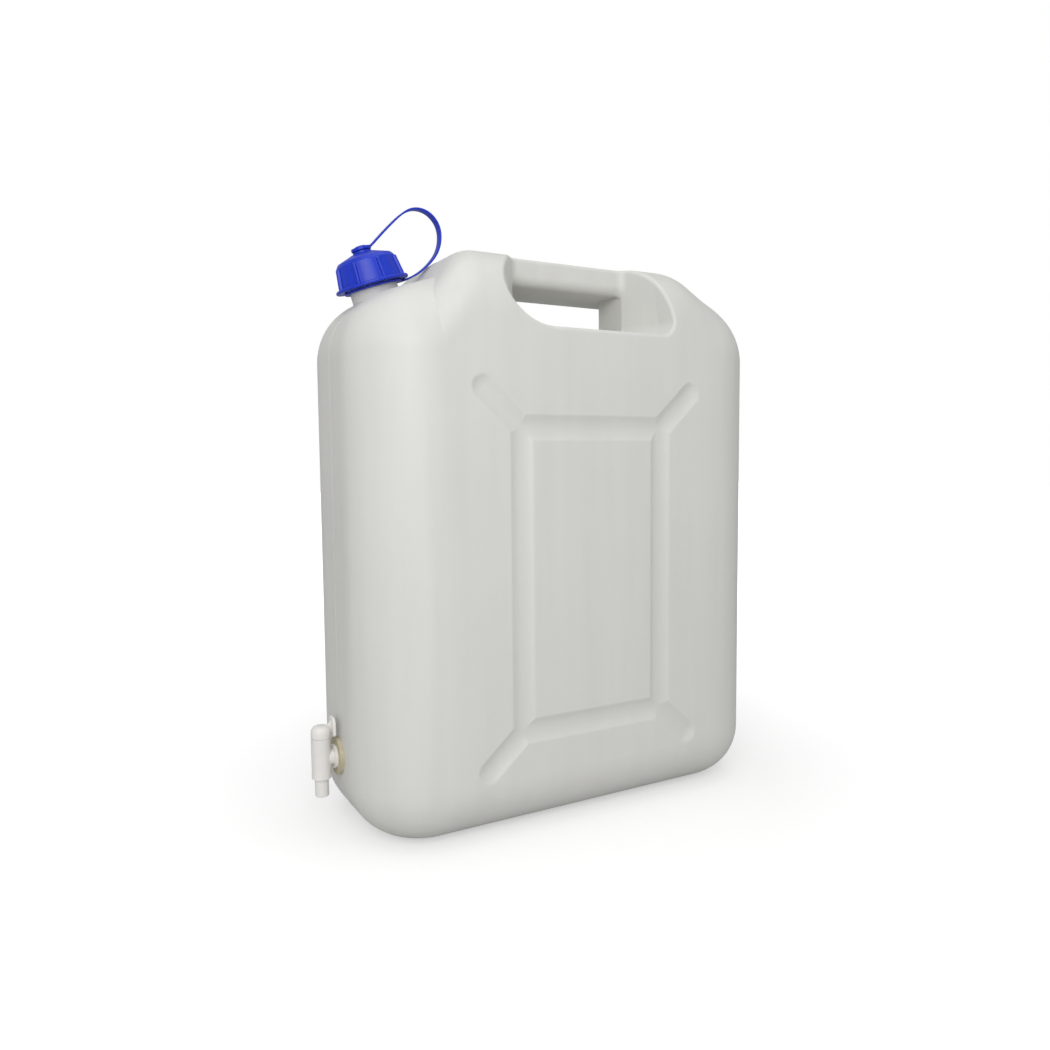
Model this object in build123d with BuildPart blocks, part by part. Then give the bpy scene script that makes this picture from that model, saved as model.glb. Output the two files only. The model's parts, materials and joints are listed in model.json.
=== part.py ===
from build123d import *
import os
from math import cos, radians, sin, tan

os.makedirs("parts", exist_ok=True)

# Water jerrycan. Millimetres. The origin is the middle of the can's base, +Z is up,
# +X runs along the wide face away from the neck and the tap, -Y is the front face.

# Can body: one blow-moulded shell
body_width = 362.0
body_depth = 164.0
body_height = 441.5
wall = 1.8
side_edge_r = 58.0
base_edge_r = 45.0
top_edge_r = 50.0
ridge_extra_r = 3.0
chamfer_run = 81.0
chamfer_drop = 47.4
shoulder_drop = 46.0
shoulder_tilt = 19.2

# Hump between the neck and the handle
hump_setback = 86.0
hump_slope = 52.0
hump_edge_r = 26.0

# Handle bar and the passage round it. Setbacks are from the can's sides.
bar_half_depth = 34.0
bar_thickness = 21.0
bar_edge_r = 8.0
gap_depth = 58.5
gap_left_setback = 102.0
gap_right_setback = 101.0
gap_left_draft = 35.0
gap_right_draft = 20.0
gap_front_lean = -0.25
gap_left_r = 48.0
gap_left_inner_r = 28.0
gap_right_r = 11.0
gap_reach = 12.0
step_depth = 16.0
step_run = 4.0
rear_flare = 38.0
lip_r = 3.0

# Channels pressed into both wide faces. Drops are from the top.
channel_depth = 2.8
channel_width = 18.0
channel_rim_r = 4.0
channel_half_w = 63.4
channel_low_z = 80.5
channel_drop = 133.4
arm_low = (92.0, 55.5)
arm_high_x = 94.0
arm_drop = 105.0

# Neck, tilted towards the tap side. Heights on it are measured from the cap's lower rim.
neck_tilt = 17.7
neck_setback = 35.3
neck_drop = 25.4
stem_r = 18.3
finish_r = 20.4
finish_low = 1.2
finish_high = 16.0
finish_edge = 1.0
mouth_r = 16.2
foot_r = 21.5
foot_low = -13.0
foot_high = -9.5
neck_root = -30.0

# Screw cap with the post that carries the tether
cap_rim_r = 28.0
cap_rim_t = 2.2
cap_low_r = 25.0
cap_high_r = 22.6
cap_side_h = 18.0
cap_crown_r = 20.4
cap_crown_h = 20.6
cap_flat_r = 9.0
cap_top_h = 24.6
cap_bore_r = 21.6
cap_bore_h = 13.4
cap_ceiling_r = 19.8
cap_boss_r = 7.0
cap_boss_h = 1.8
cap_rib_count = 8
cap_rib_phase = 3.0
cap_rib_w = 4.4
cap_rib_out = 1.5
cap_rib_top = 16.6
post_r = 3.0
post_head_r = 4.4
post_head_t = 1.6

# Sealing disc in the cap
seal_t = 2.0
seal_r = 19.4
seal_clearance = 0.15

# Tether: neck ring, flat strap and eye in one moulding
ring_clearance = 0.5
ring_w = 3.2
ring_t = 1.6
ring_h = -3.4
strap_w = 7.0
strap_t = 1.4
eye_r = 7.6
eye_t = 2.4
post_clearance = 0.25
loop_reach = 66.4
loop_top = 48.1

# Tap: a fixed barrel and the plug that turns in it
tap_z = 59.5
tap_reach = 14.0
thread_r = 8.3
thread_clearance = 0.3
inlet_r = 4.2
pipe_r = 5.9
collar_r = 9.0
collar_t = 2.0
gasket_r = 14.2
gasket_t = 3.2
barrel_below = 15.0
barrel_above = 16.0
barrel_r = 7.3
barrel_wall = 1.5
plug_clearance = 0.06
spout_below = 29.0
spout_r = 5.2
spout_bore_r = 3.7
port_r = 3.4
dome_h = 9.5
dome_edge_r = 5.0
web_t = 3.0
lever_h = 15.0
lever_plate_w = 14.0
lever_plate_t = 2.0
lever_reach = 10.0
nut_across_flats = 27.0
nut_t = 6.0
nut_clearance = 0.1
stub_past_nut = 2.5

half_w = body_width / 2
half_d = body_depth / 2
ridge_r = top_edge_r + ridge_extra_r
shoulder_z = body_height - shoulder_drop
hump_x = -half_w + hump_setback
bar_underside_z = body_height - bar_thickness
gap_floor_z = body_height - gap_depth
gap_left_x = -half_w + gap_left_setback
gap_right_x = half_w - gap_right_setback
channel_high_z = body_height - channel_drop
arm_high = (arm_high_x, body_height - arm_drop)
neck_x = -half_w + neck_setback
neck_z = body_height - neck_drop

neck_axis_dir = (-sin(radians(neck_tilt)), 0, cos(radians(neck_tilt)))
neck_right_dir = (cos(radians(neck_tilt)), 0, sin(radians(neck_tilt)))
neck_origin = (neck_x, 0, neck_z)
neck_plane = Plane(neck_origin, x_dir=neck_right_dir, z_dir=neck_axis_dir)
# In this plane a point is (radius, height) on the neck
neck_section = Plane(neck_origin, x_dir=neck_right_dir, z_dir=(0, -1, 0))
neck_axis = Axis(neck_origin, neck_axis_dir)
cap_ceiling_h = finish_high + seal_t + 2 * seal_clearance
eye_h = cap_top_h + cap_boss_h + post_clearance

tap_x = -half_w - tap_reach
barrel_low_z = tap_z - barrel_below
barrel_high_z = tap_z + barrel_above
spout_low_z = tap_z - spout_below
dome_high_z = barrel_high_z + dome_h
tap_axis = Axis((tap_x, 0, 0), (0, 0, 1))
# In this plane a point is (distance from the tap's axis, height)
tap_section = Plane((tap_x, 0, 0), x_dir=(1, 0, 0), z_dir=(0, -1, 0))
collar_x = -half_w - gasket_t - collar_t
nut_x = -half_w + wall
stub_end_x = nut_x + nut_t + stub_past_nut


def across(x):
    """A plane square to the tap's inlet at x, looking into the can."""
    return Plane((x, 0, tap_z), x_dir=(0, 1, 0), z_dir=(1, 0, 0))


def near(edges, reference):
    """The edges whose middle lies where a reference edge's middle does."""
    return [e for e in edges if any((e.center() - r).length < 0.01 for r in reference)]


def on_both(edges, skin, other):
    """The edges that lie on two skins, where one form cuts through the other."""
    middles = [(e, Vertex(*(e @ 0.5))) for e in edges]
    return [e for e, m in middles if skin.distance_to(m) < 0.001 and other.distance_to(m) < 0.001]


def main_block(inset):
    """The can without its hump: every outer edge is rounded."""
    shoulder_run = shoulder_drop / tan(radians(shoulder_tilt))
    with BuildPart() as block:
        with BuildSketch(Plane.XZ):
            with BuildLine():
                Polyline(
                    (-half_w, 0),
                    (half_w, 0),
                    (half_w, body_height - chamfer_drop),
                    (half_w - chamfer_run, body_height),
                    (-half_w + shoulder_run, body_height),
                    (-half_w, shoulder_z),
                    close=True,
                )
            make_face()
            if inset:
                offset(amount=-inset, kind=Kind.INTERSECTION)
        extrude(amount=half_d - inset, both=True)
        fillet(block.edges().filter_by(Axis.Z), side_edge_r - inset)
        ridges = [e for e in block.edges().filter_by(Axis.Y) if e.center().Z > body_height - 2 * wall]
        fillet(ridges, ridge_r - inset)
        fillet(block.faces().sort_by(Axis.Z)[0].edges(), base_edge_r - inset)
        # The crown faces look up; the loop where they meet the upright walls is rounded
        crown = [f for f in block.faces() if f.center().Z > shoulder_z - top_edge_r and f.normal_at().Z > 0.3]
        crown_edges = [e for f in crown for e in f.edges()]
        inner = [e.center() for e in crown_edges]
        loop = [e for e in crown_edges if sum((e.center() - c).length < 0.01 for c in inner) == 1]
        fillet(near(block.edges(), [e.center() for e in loop]), top_edge_r - inset)
    return block.part


def hump_block(inset):
    """The raised end of the top beside the neck: a tall rounded block behind a sloped facet."""
    low_z = shoulder_z - top_edge_r
    over = top_edge_r / tan(radians(hump_slope))
    foot_x = hump_x - (body_height - low_z) / tan(radians(hump_slope))
    with BuildPart() as hump:
        with BuildSketch(Plane.XY.offset(low_z)):
            Rectangle(body_width - 2 * inset, body_depth - 2 * inset)
            fillet(vertices(), side_edge_r - inset)
        extrude(amount=body_height - inset - low_z)
        fillet(hump.faces().sort_by(Axis.Z)[-1].edges(), top_edge_r - inset)
        with BuildSketch(Plane.XZ):
            with BuildLine():
                Polyline(
                    (0, low_z - top_edge_r),
                    (0, body_height + top_edge_r),
                    (hump_x + over, body_height + top_edge_r),
                    (foot_x - over, low_z - top_edge_r),
                    close=True,
                )
            make_face()
            if inset:
                offset(amount=-inset, kind=Kind.INTERSECTION)
        extrude(amount=half_d, both=True, mode=Mode.INTERSECT)
        facet = hump.faces().filter_by(lambda f: 0.1 < f.normal_at().Z < 0.9 and f.is_planar)[0]
        fillet([e for e in facet.edges() if e.center().Z > low_z + wall], hump_edge_r - inset)
    return hump.part


def gap_outline(depth, left, right, top, grow, left_r, lean):
    """The passage's outline at a depth in front of the parting plane, open above."""
    low = gap_floor_z - grow
    with BuildSketch(Plane.XZ.offset(depth)) as outline:
        with BuildLine():
            Polyline(
                (left - grow, top),
                (left - grow, low),
                (right + grow, low),
                (right + grow + lean * (top - low), top),
                close=True,
            )
        make_face()
        fillet(outline.vertices().group_by(Axis.Y)[0].sort_by(Axis.X)[0], left_r + grow)
        fillet(outline.vertices().group_by(Axis.Y)[0].sort_by(Axis.X)[-1], gap_right_r + grow)
    return outline.sketch


def passage(grow):
    """What lies open round the handle bar: front pocket, gap under the bar, rear pocket."""
    sky = body_height + top_edge_r
    under = bar_underside_z + grow
    bar = bar_half_depth - grow
    reach = half_d + gap_reach
    left_draft = gap_left_draft / (half_d - bar_half_depth)
    rear_draft = tan(radians(rear_flare))
    left = gap_left_x + gap_left_draft
    right = gap_right_x - gap_right_draft
    mouth_left = gap_left_x - left_draft * gap_reach
    mouth_right = gap_right_x + gap_reach * step_run / step_depth
    bend_left = gap_left_x + left_draft * step_depth
    bend_r = gap_left_r - (gap_left_r - gap_left_inner_r) * step_depth / (half_d - bar_half_depth)
    inner_r = gap_left_inner_r
    front_lean = gap_front_lean * (gap_depth - bar_thickness) / gap_depth
    with BuildPart() as tool:
        mouth = gap_outline(reach, mouth_left, mouth_right, sky, grow, gap_left_r, front_lean)
        bend_right = gap_right_x - step_run
        bend = gap_outline(half_d - step_depth, bend_left, bend_right, sky, grow, bend_r, front_lean)
        loft([mouth, bend], ruled=True)
        loft([bend, gap_outline(bar, left, right, sky, grow, inner_r, 0)], ruled=True)
        pinch = gap_outline(0, left, right, under, grow, inner_r, 0)
        loft([gap_outline(bar, left, right, under, grow, inner_r, 0), pinch], ruled=True)
        rear_right = right + rear_draft * bar
        loft([pinch, gap_outline(-bar, left, rear_right, under, grow, inner_r, 0)], ruled=True)
        rear_mouth = gap_outline(-reach, mouth_left, right + rear_draft * reach, sky, grow, gap_left_r, 0)
        loft([gap_outline(-bar, left, rear_right, sky, grow, inner_r, 0), rear_mouth], ruled=True)
        # The bar's long lower edges and its four ends are rounded
        bar_faces = [e for e in tool.edges() if abs(abs(e.center().Y) - bar) < 0.1]
        low_edges = [e for e in bar_faces if abs(e.center().Z - under) < 0.1 and e.length > bar]
        end_edges = [e for e in bar_faces if under + bar / 2 < e.center().Z < sky - top_edge_r / 4]
        fillet(low_edges + end_edges, bar_edge_r - grow)
    return tool.part


def channels(grow):
    """Rods laid half sunk in both wide faces: a rectangle with an arm out of each corner."""
    rod_r = (channel_width**2 / 4 + channel_depth**2) / (2 * channel_depth)
    depth = half_d + rod_r - channel_depth
    corners = [
        (-channel_half_w, channel_low_z),
        (channel_half_w, channel_low_z),
        (channel_half_w, channel_high_z),
        (-channel_half_w, channel_high_z),
    ]
    ends = [(-arm_low[0], arm_low[1]), arm_low, arm_high, (-arm_high[0], arm_high[1])]
    runs = [(corners[i], corners[i - 1]) for i in range(4)] + list(zip(corners, ends))
    with BuildPart() as tool:
        for (x1, z1), (x2, z2) in runs:
            start = Vector(x1, -depth, z1)
            way = Vector(x2, -depth, z2) - start
            with BuildSketch(Plane(start, z_dir=way)):
                Circle(rod_r + grow)
            extrude(amount=way.length)
        with Locations(*[(x, -depth, z) for x, z in corners + ends]):
            Sphere(rod_r + grow)
        mirror(about=Plane.XZ)
    return tool.part


def can_form(inset):
    """The can without its neck. Inset by the wall, it is the space inside."""
    with BuildPart() as form:
        add(main_block(inset))
        add(hump_block(inset))
        skin = form.part.shells()[0]
        cutter = passage(inset)
        add(cutter, mode=Mode.SUBTRACT)
        if not inset:
            fillet(on_both(form.edges(), skin, cutter.shells()[0]), lip_r)
        add(channels(inset), mode=Mode.SUBTRACT)
        if not inset:
            rims = [e for e in form.edges(Select.LAST) if abs(abs(e.center().Y) - half_d) < 0.001]
            fillet([e for e in rims if e.is_interior is False], channel_rim_r)
    return form.part


outer_form = can_form(0)
inner_form = can_form(wall)

with BuildPart() as can_body:
    add(outer_form)
    with BuildSketch(neck_section):
        with BuildLine():
            Polyline(
                (0, neck_root),
                (foot_r, neck_root),
                (foot_r, foot_low),
                (stem_r, foot_high),
                (stem_r, finish_low),
                (finish_r, finish_low),
                (finish_r, finish_high - finish_edge),
                (finish_r - finish_edge, finish_high),
                (0, finish_high),
                close=True,
            )
        make_face()
    revolve(axis=neck_axis)
    add(inner_form, mode=Mode.SUBTRACT)
    with BuildSketch(neck_section):
        with BuildLine():
            Polyline(
                (0, neck_root),
                (foot_r - wall, neck_root),
                (foot_r - wall, foot_low - wall),
                (mouth_r, foot_high - wall),
                (mouth_r, finish_high),
                (0, finish_high),
                close=True,
            )
        make_face()
    revolve(axis=neck_axis, mode=Mode.SUBTRACT)
    # Hole for the tap
    with BuildSketch(across(-half_w)):
        Circle(thread_r + thread_clearance)
    extrude(amount=wall, mode=Mode.SUBTRACT)
can_body.part.label = "can_body"
export_step(can_body.part, "parts/can_body.step")

with BuildPart() as screw_cap:
    # Ribs: spokes cut down to the taper of the cap's side
    with BuildSketch(neck_plane):
        with PolarLocations(cap_rim_r / 2, cap_rib_count, cap_rib_phase):
            Rectangle(cap_rim_r, cap_rib_w)
    extrude(amount=cap_rib_top)
    with BuildSketch(neck_section):
        with BuildLine():
            Polyline(
                (0, 0),
                (cap_low_r + cap_rib_out, 0),
                (cap_low_r + cap_rib_out, cap_rim_t),
                (cap_high_r + cap_rib_out, cap_rib_top - cap_rib_out),
                (cap_high_r, cap_rib_top),
                (0, cap_rib_top),
                close=True,
            )
        make_face()
    revolve(axis=neck_axis, mode=Mode.INTERSECT)
    # Flange, tapered side, crown and boss
    with BuildSketch(neck_section):
        with BuildLine():
            Polyline(
                (0, 0),
                (cap_rim_r, 0),
                (cap_rim_r, cap_rim_t),
                (cap_low_r, cap_rim_t),
                (cap_high_r, cap_side_h),
                (cap_crown_r, cap_crown_h),
                (cap_flat_r, cap_top_h),
                (cap_boss_r, cap_top_h),
                (cap_boss_r, cap_top_h + cap_boss_h),
                (0, cap_top_h + cap_boss_h),
                close=True,
            )
        make_face()
    revolve(axis=neck_axis)
    # Post and head through the tether's eye
    with BuildSketch(neck_plane.offset(cap_top_h)):
        Circle(post_r)
    head_h = eye_h + eye_t + post_clearance
    extrude(amount=head_h - cap_top_h)
    with BuildSketch(neck_plane.offset(head_h)):
        Circle(post_head_r)
    extrude(amount=post_head_t)
    fillet(screw_cap.edges().sort_by(neck_axis)[-1], post_head_t / 2)
    with BuildSketch(neck_section):
        with BuildLine():
            Polyline(
                (0, 0),
                (cap_bore_r, 0),
                (cap_bore_r, cap_bore_h),
                (cap_ceiling_r, cap_ceiling_h),
                (0, cap_ceiling_h),
                close=True,
            )
        make_face()
    revolve(axis=neck_axis, mode=Mode.SUBTRACT)
screw_cap.part.label = "screw_cap"
export_step(screw_cap.part, "parts/screw_cap.step")

with BuildPart() as cap_seal:
    with BuildSketch(neck_plane.offset(finish_high + seal_clearance)):
        Circle(seal_r)
    extrude(amount=seal_t)
cap_seal.part.label = "cap_seal"
export_step(cap_seal.part, "parts/cap_seal.step")

with BuildPart() as cap_tether:
    ring_in = stem_r + ring_clearance
    with BuildSketch(neck_plane.offset(ring_h)):
        Circle(ring_in + ring_w)
        Circle(ring_in, mode=Mode.SUBTRACT)
    extrude(amount=ring_t)
    with BuildSketch(neck_plane.offset(eye_h)):
        Circle(eye_r)
        Circle(post_r + post_clearance, mode=Mode.SUBTRACT)
    extrude(amount=eye_t)
    # The strap leaves the ring level, loops up beside the cap and comes down flat on the eye
    with BuildSketch(neck_section):
        with BuildLine():
            ring_mid_h = ring_h + ring_t / 2
            start = Line((ring_in + ring_w / 2, ring_mid_h), (0.33 * loop_reach, ring_mid_h))
            rise = TangentArc(start @ 1, (0.84 * loop_reach, 0.21 * loop_top), tangent=start % 1)
            back = TangentArc(rise @ 1, (loop_reach, 0.56 * loop_top), tangent=rise % 1)
            top = TangentArc(back @ 1, (0.66 * loop_reach, 0.988 * loop_top), tangent=back % 1)
            fall = TangentArc(top @ 1, (0.51 * loop_reach, 0.905 * loop_top), tangent=top % 1)
            down = TangentArc(fall @ 1, (0.19 * loop_reach, eye_h + 2 * eye_t), tangent=fall % 1)
            TangentArc(down @ 1, (eye_r - strap_t, eye_h + eye_t / 2), tangent=down % 1)
        trace(line_width=strap_t)
    extrude(amount=strap_w / 2, both=True)
cap_tether.part.label = "cap_tether"
export_step(cap_tether.part, "parts/cap_tether.step")

with BuildPart() as tap_body:
    # Barrel
    with BuildSketch(tap_section):
        with BuildLine():
            Polyline(
                (0, barrel_low_z),
                (barrel_r, barrel_low_z),
                (barrel_r, barrel_high_z),
                (0, barrel_high_z),
                close=True,
            )
        make_face()
    revolve(axis=tap_axis)
    # Inlet pipe, collar and threaded stub
    with BuildSketch(across(tap_x)):
        Circle(pipe_r)
    extrude(amount=collar_x - tap_x)
    with BuildSketch(across(collar_x)):
        Circle(collar_r)
    extrude(amount=collar_t)
    with BuildSketch(across(collar_x + collar_t)):
        Circle(thread_r)
    extrude(amount=stub_end_x - collar_x - collar_t)
    with BuildSketch(across(tap_x)):
        Circle(inlet_r)
    extrude(amount=stub_end_x - tap_x, mode=Mode.SUBTRACT)
    with BuildSketch(tap_section):
        with BuildLine():
            Polyline(
                (0, barrel_low_z),
                (barrel_r - barrel_wall, barrel_low_z),
                (barrel_r - barrel_wall, barrel_high_z),
                (0, barrel_high_z),
                close=True,
            )
        make_face()
    revolve(axis=tap_axis, mode=Mode.SUBTRACT)
tap_body.part.label = "tap_body"
export_step(tap_body.part, "parts/tap_body.step")

with BuildPart() as tap_plug:
    plug_r = barrel_r - barrel_wall - plug_clearance
    dome_low_z = barrel_high_z + plug_clearance
    with BuildSketch(tap_section):
        with BuildLine():
            Polyline(
                (0, spout_low_z),
                (spout_r, spout_low_z),
                (spout_r, barrel_low_z),
                (plug_r, barrel_low_z),
                (plug_r, dome_low_z),
                (barrel_r, dome_low_z),
                (barrel_r, dome_high_z),
                (0, dome_high_z),
                close=True,
            )
        make_face()
    revolve(axis=tap_axis)
    fillet(tap_plug.edges().sort_by(Axis.Z)[-1], dome_edge_r)
    # Lever: an upright web with a thumb plate at its end
    with BuildSketch(tap_section):
        with BuildLine():
            Polyline(
                (0, dome_low_z + dome_edge_r / 2),
                (lever_reach - lever_plate_t, dome_low_z + dome_edge_r / 2),
                (lever_reach - lever_plate_t, dome_low_z + lever_h),
                (0, dome_high_z - web_t / 2),
                close=True,
            )
        make_face()
    extrude(amount=web_t / 2, both=True)
    with BuildSketch(Plane.XY.offset(dome_low_z)):
        with Locations((tap_x + lever_reach - lever_plate_t / 2, 0)):
            Rectangle(lever_plate_t, lever_plate_w)
    extrude(amount=lever_h)
    # Outlet bore up the middle and the port that meets the inlet a quarter turn on
    with BuildSketch(Plane((tap_x, 0, spout_low_z))):
        Circle(spout_bore_r)
    extrude(amount=tap_z + port_r + barrel_wall - spout_low_z, mode=Mode.SUBTRACT)
    with BuildSketch(Plane((tap_x, 0, tap_z), x_dir=(1, 0, 0), z_dir=(0, -1, 0))):
        Circle(port_r)
    extrude(amount=barrel_r, mode=Mode.SUBTRACT)
tap_plug.part.label = "tap_plug"
export_step(tap_plug.part, "parts/tap_plug.step")

with BuildPart() as tap_gasket:
    with BuildSketch(across(-half_w - gasket_t)):
        Circle(gasket_r)
        Circle(thread_r + thread_clearance, mode=Mode.SUBTRACT)
    extrude(amount=gasket_t)
tap_gasket.part.label = "tap_gasket"
export_step(tap_gasket.part, "parts/tap_gasket.step")

with BuildPart() as tap_lock_nut:
    with BuildSketch(across(nut_x)):
        RegularPolygon(nut_across_flats / 2, 6, major_radius=False)
        Circle(thread_r + nut_clearance, mode=Mode.SUBTRACT)
    extrude(amount=nut_t)
tap_lock_nut.part.label = "tap_lock_nut"
export_step(tap_lock_nut.part, "parts/tap_lock_nut.step")
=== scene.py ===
import bmesh
import bpy
import json
from math import atan2, cos, degrees, pi, radians, sin, tan
from mathutils import Matrix, Vector
from mathutils.bvhtree import BVHTree


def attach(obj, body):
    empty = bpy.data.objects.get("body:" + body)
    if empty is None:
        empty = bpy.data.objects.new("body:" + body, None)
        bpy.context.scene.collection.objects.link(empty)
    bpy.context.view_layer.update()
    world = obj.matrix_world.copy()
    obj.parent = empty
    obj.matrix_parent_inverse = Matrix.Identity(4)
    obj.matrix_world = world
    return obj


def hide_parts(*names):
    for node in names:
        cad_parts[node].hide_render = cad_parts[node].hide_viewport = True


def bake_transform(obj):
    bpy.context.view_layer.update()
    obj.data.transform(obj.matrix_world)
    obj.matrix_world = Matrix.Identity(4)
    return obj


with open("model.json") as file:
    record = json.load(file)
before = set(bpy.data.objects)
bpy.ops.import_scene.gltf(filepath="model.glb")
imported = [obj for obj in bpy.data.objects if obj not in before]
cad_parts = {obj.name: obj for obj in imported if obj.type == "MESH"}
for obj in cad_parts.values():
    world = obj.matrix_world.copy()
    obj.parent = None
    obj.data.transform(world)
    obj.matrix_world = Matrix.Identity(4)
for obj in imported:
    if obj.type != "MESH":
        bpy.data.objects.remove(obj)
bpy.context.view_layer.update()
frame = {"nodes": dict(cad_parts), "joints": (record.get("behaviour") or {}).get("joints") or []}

nodes = frame["nodes"]
print("frame loaded:", len(nodes), "nodes")

# The photograph's viewpoint, in the can's own frame
shot = {
    "place": (-0.36147, -0.62006, 0.28415),
    "azimuth": 29.14,    # degrees from +Y towards +X
    "pitch": -4.43,
    "roll": -0.52,
    "lens": 28.77,
    "sensorWidth": 36,
}


def aimCamera(name):
    azimuth, pitch = radians(shot["azimuth"]), radians(shot["pitch"])
    ahead = Vector((sin(azimuth) * cos(pitch), cos(azimuth) * cos(pitch), sin(pitch)))
    roll = Matrix.Rotation(radians(shot["roll"]), 4, "Z").to_quaternion()
    data = bpy.data.cameras.new(name)
    data.lens = shot["lens"]
    data.sensor_width = shot["sensorWidth"]
    camera = bpy.data.objects.new(name, data)
    camera.location = shot["place"]
    camera.rotation_mode = "QUATERNION"
    camera.rotation_quaternion = ahead.to_track_quat("-Z", "Y") @ roll
    bpy.context.scene.collection.objects.link(camera)
    bpy.context.scene.camera = camera


aimCamera("photoCamera")

# Studio: white all round, a soft box at the left front, a dim one at the right and one overhead
studio = {
    "worldStrength": 0.53,
    "floorColour": (0.62, 0.62, 0.62, 1),
    "floorRoughness": 0.9,
    "floorSize": 14,
    "glowNear": 0.44,    # what the viewer alone sees, beside the can and far from it
    "glowFar": 1.0,
    "glowStart": 0.2,
    "glowRadius": 1.1,
}
softBoxes = [
    # name, place, aimed at, size, watts
    ("leftSoftBox", (-0.66, -1.0, 0.70), (-0.1, 0, 0.22), 0.8, 8.3),
    ("rightFill", (1.5, -1.0, 0.8), (0, 0, 0.2), 1.2, 0.6),
    ("topSoftBox", (-0.1, -0.2, 1.6), (0, 0, 0.2), 1.3, 4.2),
]
white = (1, 1, 1, 1)


def addSoftBox(name, place, aim, size, watts):
    data = bpy.data.lights.new(name, "AREA")
    data.shape = "SQUARE"
    data.size = size
    data.energy = watts
    lamp = bpy.data.objects.new(name, data)
    lamp.location = place
    lamp.rotation_mode = "QUATERNION"
    lamp.rotation_quaternion = (Vector(aim) - Vector(place)).to_track_quat("-Z", "Y")
    bpy.context.scene.collection.objects.link(lamp)


def lightRoom():
    # The viewer sees white, and the object is lit at a plain level
    world = bpy.data.worlds.new("studioWorld")
    bpy.context.scene.world = world
    world.use_nodes = True
    tree, link = world.node_tree.nodes, world.node_tree.links.new
    tree.clear()
    out = tree.new("ShaderNodeOutputWorld")
    seen = tree.new("ShaderNodeBackground")
    seen.inputs["Color"].default_value = white
    lighting = tree.new("ShaderNodeBackground")
    lighting.inputs["Color"].default_value = white
    lighting.inputs["Strength"].default_value = studio["worldStrength"]
    ray = tree.new("ShaderNodeLightPath")
    pick = tree.new("ShaderNodeMixShader")
    link(ray.outputs["Is Camera Ray"], pick.inputs[0])
    link(lighting.outputs[0], pick.inputs[1])
    link(seen.outputs[0], pick.inputs[2])
    link(pick.outputs[0], out.inputs[0])


for box in softBoxes:
    addSoftBox(*box)
lightRoom()
bpy.context.scene.view_settings.view_transform = "Standard"


def emptyMaterial(name):
    mat = bpy.data.materials.new(name)
    mat.use_nodes = True
    return mat, mat.node_tree.nodes, mat.node_tree.links.new, mat.node_tree.nodes["Principled BSDF"]


def makeFloor():
    half = studio["floorSize"] / 2
    corners = [(-half, -half, 0), (half, -half, 0), (half, half, 0), (-half, half, 0)]
    mesh = bpy.data.meshes.new("studioFloor")
    mesh.from_pydata(corners, [], [(0, 1, 2, 3)])
    floor = bpy.data.objects.new("studioFloor", mesh)
    bpy.context.scene.collection.objects.link(floor)
    mat, tree, link, shader = emptyMaterial("floorPaper")
    shader.inputs["Base Color"].default_value = studio["floorColour"]
    shader.inputs["Roughness"].default_value = studio["floorRoughness"]
    # A glow that only the viewer sees lifts the paper to white and leaves the shadow on it
    place = tree.new("ShaderNodeTexCoord")
    far = tree.new("ShaderNodeVectorMath")
    far.operation = "LENGTH"
    link(place.outputs["Object"], far.inputs[0])
    rise = tree.new("ShaderNodeMapRange")
    rise.inputs["From Min"].default_value = studio["glowStart"]
    rise.inputs["From Max"].default_value = studio["glowRadius"]
    rise.inputs["To Min"].default_value = studio["glowNear"]
    rise.inputs["To Max"].default_value = studio["glowFar"]
    link(far.outputs["Value"], rise.inputs["Value"])
    ray = tree.new("ShaderNodeLightPath")
    seen = tree.new("ShaderNodeMath")
    seen.operation = "MULTIPLY"
    link(rise.outputs["Result"], seen.inputs[0])
    link(ray.outputs["Is Camera Ray"], seen.inputs[1])
    shader.inputs["Emission Color"].default_value = white
    link(seen.outputs[0], shader.inputs["Emission Strength"])
    mesh.materials.append(mat)


makeFloor()
print("studio set")

# Plastics: a colour and a darker shade of it in patches and upright streaks, and a fine grain.
# Patch, streak and grain are noise scales, and grainDepth is in metres.
plasticLooks = {
    "canPlastic": {
        "colour": (0.665, 0.662, 0.632, 1), "shade": (0.638, 0.635, 0.604, 1),
        "patch": 9, "streak": 70, "grain": 1500, "grainDepth": 0.00004,
        "smooth": 0.36, "rough": 0.50, "through": 0.25,
    },
    "capPlastic": {
        "colour": (0.005, 0.034, 0.52, 1), "shade": (0.004, 0.027, 0.46, 1),
        "patch": 60, "streak": 260, "grain": 2600, "grainDepth": 0.00002,
        "smooth": 0.30, "rough": 0.44, "through": 0.03,
    },
    "tapPlastic": {
        "colour": (0.79, 0.775, 0.745, 1), "shade": (0.74, 0.72, 0.69, 1),
        "patch": 90, "streak": 420, "grain": 3200, "grainDepth": 0.00002,
        "smooth": 0.30, "rough": 0.44, "through": 0.2,
    },
    "gasketRubber": {
        "colour": (0.53, 0.48, 0.35, 1), "shade": (0.44, 0.39, 0.27, 1),
        "patch": 150, "streak": 500, "grain": 2400, "grainDepth": 0.00006,
        "smooth": 0.52, "rough": 0.70, "through": 0.0,
    },
    "linerFoam": {
        "colour": (0.80, 0.80, 0.78, 1), "shade": (0.74, 0.74, 0.72, 1),
        "patch": 120, "streak": 400, "grain": 1800, "grainDepth": 0.00015,
        "smooth": 0.65, "rough": 0.80, "through": 0.0,
    },
}
plasticFeel = {
    "streakSquash": (1, 1, 0.07),    # streaks run upright, as the tube was drawn
    "patchDetail": 3, "streakDetail": 2, "grainDetail": 2,
    "shadeLow": 0.75, "shadeHigh": 1.25,    # the two noises' sum that is all shade, and all colour
    "grainStrength": 0.35, "ior": 1.5, "shine": 0.38,
    "scatter": (1.0, 0.95, 0.85), "scatterDepth": 0.006,
}


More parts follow.
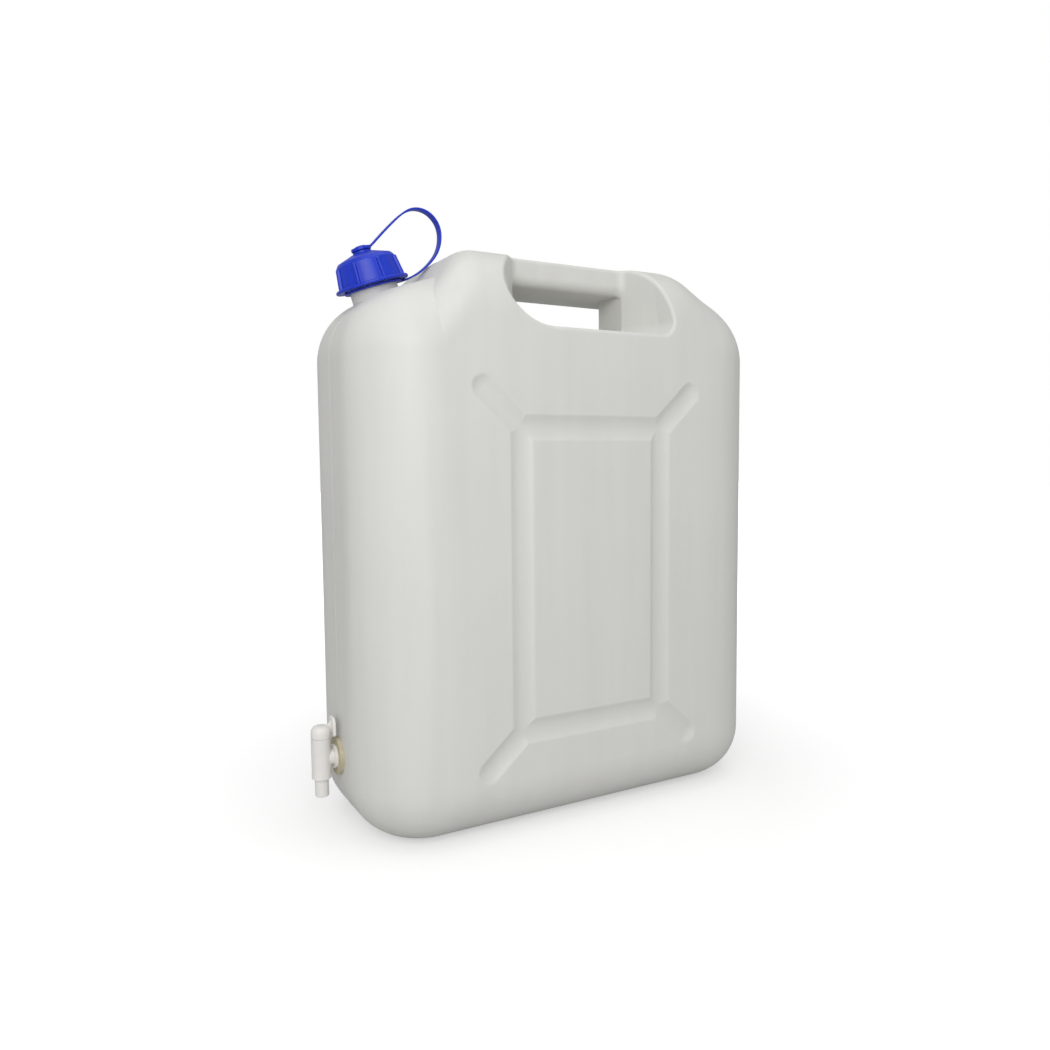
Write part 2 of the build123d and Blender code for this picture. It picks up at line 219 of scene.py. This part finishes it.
def addNoise(tree, link, vector, scale, detail):
    noise = tree.new("ShaderNodeTexNoise")
    noise.inputs["Scale"].default_value = scale
    noise.inputs["Detail"].default_value = detail
    link(vector, noise.inputs["Vector"])
    return noise.outputs["Fac"]


def mouldedPlastic(name):
    look, feel = plasticLooks[name], plasticFeel
    mat, tree, link, shader = emptyMaterial(name)
    place = tree.new("ShaderNodeTexCoord").outputs["Object"]
    drawn = tree.new("ShaderNodeMapping")
    drawn.inputs["Scale"].default_value = feel["streakSquash"]
    link(place, drawn.inputs["Vector"])
    patches = addNoise(tree, link, place, look["patch"], feel["patchDetail"])
    streaks = addNoise(tree, link, drawn.outputs["Vector"], look["streak"], feel["streakDetail"])
    grain = addNoise(tree, link, place, look["grain"], feel["grainDetail"])

    both = tree.new("ShaderNodeMath")
    both.operation = "ADD"
    link(patches, both.inputs[0])
    link(streaks, both.inputs[1])
    spread = tree.new("ShaderNodeMapRange")
    spread.inputs["From Min"].default_value = feel["shadeLow"]
    spread.inputs["From Max"].default_value = feel["shadeHigh"]
    link(both.outputs[0], spread.inputs["Value"])
    tint = tree.new("ShaderNodeMix")
    tint.data_type = "RGBA"
    tint.inputs["A"].default_value = look["shade"]
    tint.inputs["B"].default_value = look["colour"]
    link(spread.outputs["Result"], tint.inputs["Factor"])
    link(tint.outputs["Result"], shader.inputs["Base Color"])

    gloss = tree.new("ShaderNodeMapRange")
    gloss.inputs["To Min"].default_value = look["smooth"]
    gloss.inputs["To Max"].default_value = look["rough"]
    link(streaks, gloss.inputs["Value"])
    link(gloss.outputs["Result"], shader.inputs["Roughness"])
    skin = tree.new("ShaderNodeBump")
    skin.inputs["Strength"].default_value = feel["grainStrength"]
    skin.inputs["Distance"].default_value = look["grainDepth"]
    link(grain, skin.inputs["Height"])
    link(skin.outputs["Normal"], shader.inputs["Normal"])

    shader.inputs["IOR"].default_value = feel["ior"]
    shader.inputs["Specular IOR Level"].default_value = feel["shine"]
    shader.inputs["Subsurface Weight"].default_value = look["through"]
    shader.inputs["Subsurface Radius"].default_value = feel["scatter"]
    shader.inputs["Subsurface Scale"].default_value = feel["scatterDepth"]
    return mat


plastics = {name: mouldedPlastic(name) for name in plasticLooks}
finishes = {
    "can_body": "canPlastic",
    "screw_cap": "capPlastic",
    "cap_seal": "linerFoam",
    "cap_tether": "capPlastic",
    "tap_body": "tapPlastic",
    "tap_plug": "tapPlastic",
    "tap_gasket": "gasketRubber",
    "tap_lock_nut": "tapPlastic",
}
for nodeName, finish in finishes.items():
    for place in nodes[nodeName].material_slots:
        place.material = plastics[finish]
print("materials set")

# Sizes below are in millimetres, on the tilted neck from the cap's lower rim, or on the tap from
# the floor
mm = 0.001
acrossTheCan = Vector((0, 1, 0))
capTurn = next(j for j in frame["joints"] if j["name"] == "cap_turn")
tapTurn = next(j for j in frame["joints"] if j["name"] == "tap_turn")
neckFoot = Vector(capTurn["pos_m"])
neckUp = Vector(capTurn["axis"]).normalized()
neckRight = acrossTheCan.cross(neckUp)
tapX, tapY, tapZ = tapTurn["pos_m"]
tapFoot = Vector((tapX, tapY, 0))


def onNeck(right, across, up):
    return neckFoot + (neckRight * right + acrossTheCan * across + neckUp * up) * mm


def onTap(right, across, up):
    return tapFoot + Vector((right, across, up)) * mm


def ease(t):
    t = min(max(t, 0), 1)
    return t * t * (3 - 2 * t)


def roundTurn(count):
    return [2 * pi * k / count for k in range(count)]


def roundOff(corners, steps=6):
    # A closed outline from (x, y, radius) corners; each corner with a radius becomes an arc
    line = []
    for i, (x, y, radius) in enumerate(corners):
        here = Vector((x, y))
        if not radius:
            line.append(here)
            continue
        back = (Vector(corners[i - 1][:2]) - here).normalized()
        on = (Vector(corners[(i + 1) % len(corners)][:2]) - here).normalized()
        half = back.angle(on) / 2
        reach = radius / tan(half)
        centre = here + (back + on).normalized() * (radius / sin(half))
        start, end = here + back * reach - centre, here + on * reach - centre
        sweep = -start.angle_signed(end)
        for k in range(steps + 1):
            turn = Matrix.Rotation(sweep * k / steps, 2)
            line.append(centre + turn @ start)
    return line


def bendTo(line, ahead, end, steps):
    # Adds an arc that leaves the line's end along ahead and ends at end, and returns its last way
    start = line[-1]
    side = Vector((-ahead.y, ahead.x))
    chord = Vector(end) - start
    sweep = 2 * atan2(chord.dot(side), chord.dot(ahead))
    radius = chord.length / (2 * sin(sweep / 2))
    for k in range(1, steps + 1):
        turn = sweep * k / steps
        line.append(start + ahead * radius * sin(turn) + side * radius * (1 - cos(turn)))
    return ahead * cos(sweep) + side * sin(sweep)


def turnOutline(bm, outline, angles, toPlace, swell=None):
    # Turns (radius, height) points about the axis. A radius of zero closes the form there, and
    # where both ends are off the axis the last point meets the first.
    rings = []
    for r, h in outline:
        if r < 1e-6:
            rings.append([bm.verts.new(toPlace(0, 0, h))])
            continue
        radii = [r + (swell(a, r, h) if swell else 0) for a in angles]
        rings.append([bm.verts.new(toPlace(out * cos(a), out * sin(a), h))
                      for out, a in zip(radii, angles)])
    pairs = list(zip(rings, rings[1:]))
    if len(rings[0]) > 1 and len(rings[-1]) > 1:
        pairs.append((rings[-1], rings[0]))
    for low, high in pairs:
        for i in range(len(angles)):
            j = (i + 1) % len(angles)
            if len(low) == 1:
                bm.faces.new((low[0], high[i], high[j]))
            elif len(high) == 1:
                bm.faces.new((low[i], low[j], high[0]))
            else:
                bm.faces.new((low[i], low[j], high[j], high[i]))


def slab(bm, outline, toFront, toBack):
    front = [bm.verts.new(toFront(p)) for p in outline]
    back = [bm.verts.new(toBack(p)) for p in outline]
    bm.faces.new(front)
    bm.faces.new(list(reversed(back)))
    for i in range(len(outline)):
        j = (i + 1) % len(outline)
        bm.faces.new((front[j], front[i], back[i], back[j]))


def dressPiece(piece, finish, body):
    piece.data.materials.clear()
    piece.data.materials.append(plastics[finish])
    piece.data.polygons.foreach_set("use_smooth", [True] * len(piece.data.polygons))
    piece.data.set_sharp_from_angle(angle=radians(40))
    if body:
        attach(piece, body)
    return piece


def meshPiece(name, bm, finish, body):
    bmesh.ops.remove_doubles(bm, verts=bm.verts, dist=1e-7)
    bmesh.ops.recalc_face_normals(bm, faces=bm.faces)
    mesh = bpy.data.meshes.new(name)
    bm.to_mesh(mesh)
    bm.free()
    piece = bpy.data.objects.new(name, mesh)
    bpy.context.scene.collection.objects.link(piece)
    return dressPiece(piece, finish, body)


# Screw cap: one turned shell whose grip ribs swell out of its tapered side. Names that end in
# R are radii, in H heights and in Round the corners' radii.
capSizes = {
    "rimR": 28.0, "rimT": 2.4, "rimLowRound": 0.8, "rimHighRound": 1.1,
    "lowR": 25.0, "highR": 22.6, "sideH": 18.0, "footGap": 0.1, "footRound": 0.5,
    "sideStart": 0.6, "sideEnd": 0.9, "sideRows": 12, "shoulderRound": 1.6,
    "crownR": 20.6, "crownH": 20.6, "crownRound": 1.4, "flatR": 9.0, "topH": 24.6, "flatRound": 1.0,
    "bossR": 7.0, "bossH": 26.4, "bossFootRound": 0.4, "bossRound": 0.5,
    "postR": 3.0, "postRound": 0.3, "headLowH": 29.1, "headR": 4.2, "headH": 30.1,
    "headLowRound": 0.3, "headRound": 0.7,
    "boreR": 21.6, "boreH": 13.4, "boreRound": 0.5, "ceilingR": 19.8, "ceilingH": 18.2,
    "ceilingRound": 0.8,
}
ribSizes = {
    "count": 8, "phase": 3.0, "halfTurn": 3.2, "flankTurn": 2.6,    # in degrees
    "out": 1.9, "lowH": 2.2, "fadeH": 16.8, "inset": 0.6, "outset": 0.3, "fadeLag": 0.2,
}


def ribSwell(angle, r, h):
    c, rib = capSizes, ribSizes
    onSide = c["highR"] - rib["inset"] <= r <= c["lowR"] + rib["outset"]
    if not onSide or not rib["lowH"] < h < c["sideH"]:
        return 0
    pitch = 360 / rib["count"]
    off = (degrees(angle) - rib["phase"] + pitch / 2) % pitch - pitch / 2
    across = ease((rib["halfTurn"] + rib["flankTurn"] / 2 - abs(off)) / rib["flankTurn"])
    along = ease((c["sideH"] - h) / (c["sideH"] - rib["fadeH"]) - rib["fadeLag"])
    return rib["out"] * across * along


def ribAngles():
    # Close together on a rib's flanks, and wider on the smooth panel between two ribs
    flank = [1.8 + 0.6 * k for k in range(6)] + [6, 8]
    panel = [11, 14, 18, 22.5, 27, 31, 34]
    turns = [-t for t in reversed(flank)] + [0] + flank + panel
    pitch = 360 / ribSizes["count"]
    return [radians(ribSizes["phase"] + pitch * k + turn)
            for k in range(ribSizes["count"]) for turn in turns]


def makeCap():
    c = capSizes
    inner = roundOff([
        (0, c["ceilingH"], 0),
        (c["ceilingR"], c["ceilingH"], c["ceilingRound"]),
        (c["boreR"], c["boreH"], 0),
        (c["boreR"], 0, c["boreRound"]),
        (c["rimR"], 0, c["rimLowRound"]),
        (c["rimR"], c["rimT"], c["rimHighRound"]),
        (c["lowR"] + c["footGap"], c["rimT"], c["footRound"]),
    ])[:-1]
    sideFoot = c["rimT"] + c["sideStart"]
    sideRise = c["sideH"] - c["sideEnd"] - c["rimT"]
    side = []
    for k in range(1, c["sideRows"]):
        part = k / c["sideRows"]
        side.append(Vector((c["lowR"] + (c["highR"] - c["lowR"]) * part, sideFoot + sideRise * part)))
    upper = roundOff([
        (c["lowR"], c["rimT"], 0),
        (c["highR"], c["sideH"], c["shoulderRound"]),
        (c["crownR"], c["crownH"], c["crownRound"]),
        (c["flatR"], c["topH"], c["flatRound"]),
        (c["bossR"], c["topH"], c["bossFootRound"]),
        (c["bossR"], c["bossH"], c["bossRound"]),
        (c["postR"], c["bossH"], c["postRound"]),
        (c["postR"], c["headLowH"], 0),
        (c["headR"], c["headLowH"], c["headLowRound"]),
        (c["headR"], c["headH"], c["headRound"]),
        (0, c["headH"], 0),
    ])[1:]
    bm = bmesh.new()
    turnOutline(bm, inner + side + upper, ribAngles(), onNeck, ribSwell)
    cap = meshPiece("capShell", bm, "capPlastic", "cap")
    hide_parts("screw_cap")


makeCap()
print("cap made")


# One tree sweeps a rounded bar along a path, for the strap, the thread and the parting line
def sweepTree():
    tree = bpy.data.node_groups.new("roundedBarAlongPath", "GeometryNodeTree")
    sockets = tree.interface
    sockets.new_socket("Path", in_out="INPUT", socket_type="NodeSocketGeometry")
    for name in ("Width", "Thickness", "Corner"):
        sockets.new_socket(name, in_out="INPUT", socket_type="NodeSocketFloat")
    sockets.new_socket("Flat Side", in_out="INPUT", socket_type="NodeSocketVector")
    sockets.new_socket("Finish", in_out="INPUT", socket_type="NodeSocketMaterial")
    sockets.new_socket("Bar", in_out="OUTPUT", socket_type="NodeSocketGeometry")
    add, link = tree.nodes.new, tree.links.new
    given, out = add("NodeGroupInput"), add("NodeGroupOutput")
    path = add("GeometryNodeMeshToCurve")
    lie = add("GeometryNodeSetCurveNormal")
    lie.mode = "FREE"
    profile = add("GeometryNodeCurvePrimitiveQuadrilateral")
    soften = add("GeometryNodeFilletCurve")
    soften.mode = "POLY"
    soften.inputs["Count"].default_value = 3
    sweep = add("GeometryNodeCurveToMesh")
    sweep.inputs["Fill Caps"].default_value = True
    real = add("GeometryNodeRealizeInstances")
    paint = add("GeometryNodeSetMaterial")
    link(given.outputs["Path"], path.inputs[0])
    link(path.outputs[0], lie.inputs["Curve"])
    link(given.outputs["Flat Side"], lie.inputs["Normal"])
    link(given.outputs["Width"], profile.inputs["Width"])
    link(given.outputs["Thickness"], profile.inputs["Height"])
    link(profile.outputs[0], soften.inputs["Curve"])
    link(given.outputs["Corner"], soften.inputs["Radius"])
    link(lie.outputs[0], sweep.inputs["Curve"])
    link(soften.outputs[0], sweep.inputs["Profile Curve"])
    link(sweep.outputs[0], real.inputs[0])
    link(real.outputs[0], paint.inputs["Geometry"])
    link(given.outputs["Finish"], paint.inputs["Material"])
    link(paint.outputs[0], out.inputs[0])
    return tree


barTree = sweepTree()


def sweepBar(name, paths, sizes, flatSide, finish):
    points, edges = [], []
    for path in paths:
        first = len(points)
        edges += [(first + i, first + i + 1) for i in range(len(path) - 1)]
        points += path
    mesh = bpy.data.meshes.new(name)
    mesh.from_pydata(points, edges, [])
    bar = bpy.data.objects.new(name, mesh)
    bpy.context.scene.collection.objects.link(bar)
    shape = bar.modifiers.new("bar", "NODES")
    shape.node_group = barTree
    given = {
        "Width": sizes["width"] * mm,
        "Thickness": sizes["thickness"] * mm,
        "Corner": sizes["corner"] * mm,
        "Flat Side": flatSide,
        "Finish": plastics[finish],
    }
    for item in barTree.interface.items_tree:
        if item.in_out == "INPUT" and item.name in given:
            shape[item.identifier] = given[item.name]
    done = bar.evaluated_get(bpy.context.evaluated_depsgraph_get())
    bar.data = bpy.data.meshes.new_from_object(done)
    bar.modifiers.clear()
    return bar


# Strap: ring under the cap, a flat band that loops up beside it, and the eye on the cap's post.
# Bends are the ends of tangent arcs, right of the neck's axis and up it.
strapSizes = {
    "ringInR": 18.8, "ringOutR": 22.0, "ringLow": -2.0, "ringHigh": -0.4,
    "width": 7.0, "thickness": 1.4, "corner": 0.45, "bendSteps": 14,
    "leaves": (21.9, -1.2),
    "bends": ((55.8, 10.1), (66.4, 26.9), (43.8, 47.5), (33.9, 43.5), (12.6, 31.45), (6.2, 27.85)),
    "eyeInR": 3.25, "eyeR": 7.6, "eyeLow": 26.65, "eyeHigh": 29.05,
    "innerRound": 0.4, "outerRound": 0.5, "roundSteps": 4, "turnSteps": 48,
    "bendStart": -0.3, "bendEnd": 26.0,
}


def addWasher(bm, inR, outR, low, high):
    s = strapSizes
    outline = roundOff([
        (inR, low, s["innerRound"]), (outR, low, s["outerRound"]),
        (outR, high, s["outerRound"]), (inR, high, s["innerRound"]),
    ], s["roundSteps"])
    turnOutline(bm, outline, roundTurn(s["turnSteps"]), onNeck)


def makeStrap():
    s = strapSizes
    root = Vector(((s["ringInR"] + s["ringOutR"]) / 2, (s["ringLow"] + s["ringHigh"]) / 2))
    line = [root, Vector(s["leaves"])]
    ahead = Vector((1, 0))
    for end in s["bends"]:
        ahead = bendTo(line, ahead, end, s["bendSteps"])
    path = [onNeck(p.x, 0, p.y) for p in line]
    band = sweepBar("strapBand", [path], s, tuple(acrossTheCan), "capPlastic")
    bm = bmesh.new()
    bm.from_mesh(band.data)
    bpy.data.objects.remove(band)
    addWasher(bm, s["ringInR"], s["ringOutR"], s["ringLow"], s["ringHigh"])
    addWasher(bm, s["eyeInR"], s["eyeR"], s["eyeLow"], s["eyeHigh"])
    strap = meshPiece("tetherStrap", bm, "capPlastic", None)
    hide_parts("cap_tether")
    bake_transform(strap)


makeStrap()
print("strap made")

# Thread on the neck, which fades in and out at its ends
threadSizes = {
    "rootR": 20.3, "low": 4.0, "pitch": 4.2, "turns": 1.75, "sink": 0.8,
    "width": 1.9, "thickness": 1.6, "corner": 0.5, "steps": 96, "fadeShare": 0.1,
}


def makeThread():
    t = threadSizes
    path = []
    for k in range(t["steps"] + 1):
        part = k / t["steps"]
        fade = ease(part / t["fadeShare"]) * ease((1 - part) / t["fadeShare"])
        r = t["rootR"] + t["sink"] * (fade - 0.5)
        angle = 2 * pi * t["turns"] * part
        path.append(onNeck(r * cos(angle), r * sin(angle), t["low"] + t["pitch"] * t["turns"] * part))
    thread = sweepBar("neckThread", [path], t, tuple(neckUp), "canPlastic")
    dressPiece(thread, "canPlastic", "can")


makeThread()
print("thread made")

# Parting line of the mould: a fine raised bead round the can's middle, found by looking in from
# outside, and left out at the neck, at the tap and under the base
seamSizes = {
    "width": 0.9, "thickness": 0.9, "corner": 0.3, "sink": 0.22,
    "looks": 900, "lookAt": (0, 0, 0.2), "lookFrom": 0.6, "shortestRun": 9,    # in metres from here on
    "neckClear": 0.027, "neckBelow": 0.03, "tapClear": 0.017, "floorClear": 0.0006,
}


def offTheSeam(hit):
    s = seamSizes
    if hit is None or hit.z < s["floorClear"]:
        return True
    fromNeck = hit - neckFoot
    atNeck = fromNeck.cross(neckUp).length < s["neckClear"] and fromNeck.dot(neckUp) > -s["neckBelow"]
    atTap = hit.x < 0 and abs(hit.z - tapZ) < s["tapClear"]
    return atNeck or atTap


def makePartingLine():
    s = seamSizes
    bm = bmesh.new()
    bm.from_mesh(nodes["can_body"].data)
    skin = BVHTree.FromBMesh(bm)
    bm.free()
    middle = Vector(s["lookAt"])
    paths = [[]]
    for k in range(s["looks"] + 1):
        angle = 2 * pi * k / s["looks"] - pi / 2
        out = Vector((cos(angle), 0, sin(angle)))
        hit, normal = skin.ray_cast(middle + out * s["lookFrom"], -out)[:2]
        if offTheSeam(hit):
            paths.append([])
        else:
            paths[-1].append(hit - normal.normalized() * s["sink"] * mm)
    paths = [path for path in paths if len(path) >= s["shortestRun"]]
    seam = sweepBar("partingLine", paths, s, tuple(acrossTheCan), "canPlastic")
    dressPiece(seam, "canPlastic", "can")


makePartingLine()
print("parting line made")

# Tap plug: turned spout and dome, with a curved web up to a rounded thumb plate
plugSizes = {
    "spoutLow": 30.5, "spoutR": 5.2, "boreR": 3.7, "boreHigh": 64.4, "barrelLow": 44.5, "plugR": 5.74,
    "domeLow": 75.56, "domeR": 7.3, "domeHigh": 85.0, "domeRound": 4.9, "domeLipRound": 0.4,
    "boreRound": 0.5, "mouthInRound": 0.4, "mouthOutRound": 0.6, "roundSteps": 8, "turnSteps": 60,
    "plateIn": 8.0, "plateOut": 10.0, "plateHalf": 7.0, "plateLow": 76.56, "plateHigh": 90.5,
    "plateRound": 5.0, "plateLowRound": 1.5,
    "webHalf": 1.5, "webIn": 0.5, "webOut": 8.3, "webFoot": 78.0, "webTop": 89.3,
    "webEnd": (1.0, 84.2), "webLean": (-0.15, -1),
    "edge": 0.45, "edgeSegments": 3, "edgeTurn": 50,
}


def turnedPlug():
    p = plugSizes
    outline = roundOff([
        (0, p["boreHigh"], 0),
        (p["boreR"], p["boreHigh"], p["boreRound"]),
        (p["boreR"], p["spoutLow"], p["mouthInRound"]),
        (p["spoutR"], p["spoutLow"], p["mouthOutRound"]),
        (p["spoutR"], p["barrelLow"], 0),
        (p["plugR"], p["barrelLow"], 0),
        (p["plugR"], p["domeLow"], 0),
        (p["domeR"], p["domeLow"], p["domeLipRound"]),
        (p["domeR"], p["domeHigh"], p["domeRound"]),
        (0, p["domeHigh"], 0),
    ], p["roundSteps"])
    bm = bmesh.new()
    turnOutline(bm, outline, roundTurn(p["turnSteps"]), onTap)
    return bm


def lever():
    p = plugSizes
    bm = bmesh.new()
    plate = roundOff([
        (-p["plateHalf"], p["plateLow"], p["plateLowRound"]),
        (p["plateHalf"], p["plateLow"], p["plateLowRound"]),
        (p["plateHalf"], p["plateHigh"], p["plateRound"]),
        (-p["plateHalf"], p["plateHigh"], p["plateRound"]),
    ], p["roundSteps"])
    slab(bm, plate, lambda q: onTap(p["plateIn"], q.x, q.y), lambda q: onTap(p["plateOut"], q.x, q.y))
    web = [
        Vector((p["webIn"], p["webFoot"])),
        Vector((p["webOut"], p["webFoot"])),
        Vector((p["webOut"], p["webTop"])),
    ]
    bendTo(web, Vector(p["webLean"]).normalized(), p["webEnd"], p["roundSteps"])
    slab(bm, web, lambda q: onTap(q.x, -p["webHalf"], q.y), lambda q: onTap(q.x, p["webHalf"], q.y))
    bmesh.ops.recalc_face_normals(bm, faces=bm.faces)
    sharp = [e for e in bm.edges if e.calc_face_angle(0) > radians(p["edgeTurn"])]
    bmesh.ops.bevel(bm, geom=sharp, offset=p["edge"] * mm, segments=p["edgeSegments"],
                    profile=0.5, affect="EDGES")
    draft = bpy.data.meshes.new("leverDraft")
    bm.to_mesh(draft)
    bm.free()
    return draft


def makePlug():
    bm, draft = turnedPlug(), lever()
    bm.from_mesh(draft)
    bpy.data.meshes.remove(draft)
    plug = meshPiece("tapLever", bm, "tapPlastic", "tap_plug")
    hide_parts("tap_plug")


makePlug()
print("tap plug made")
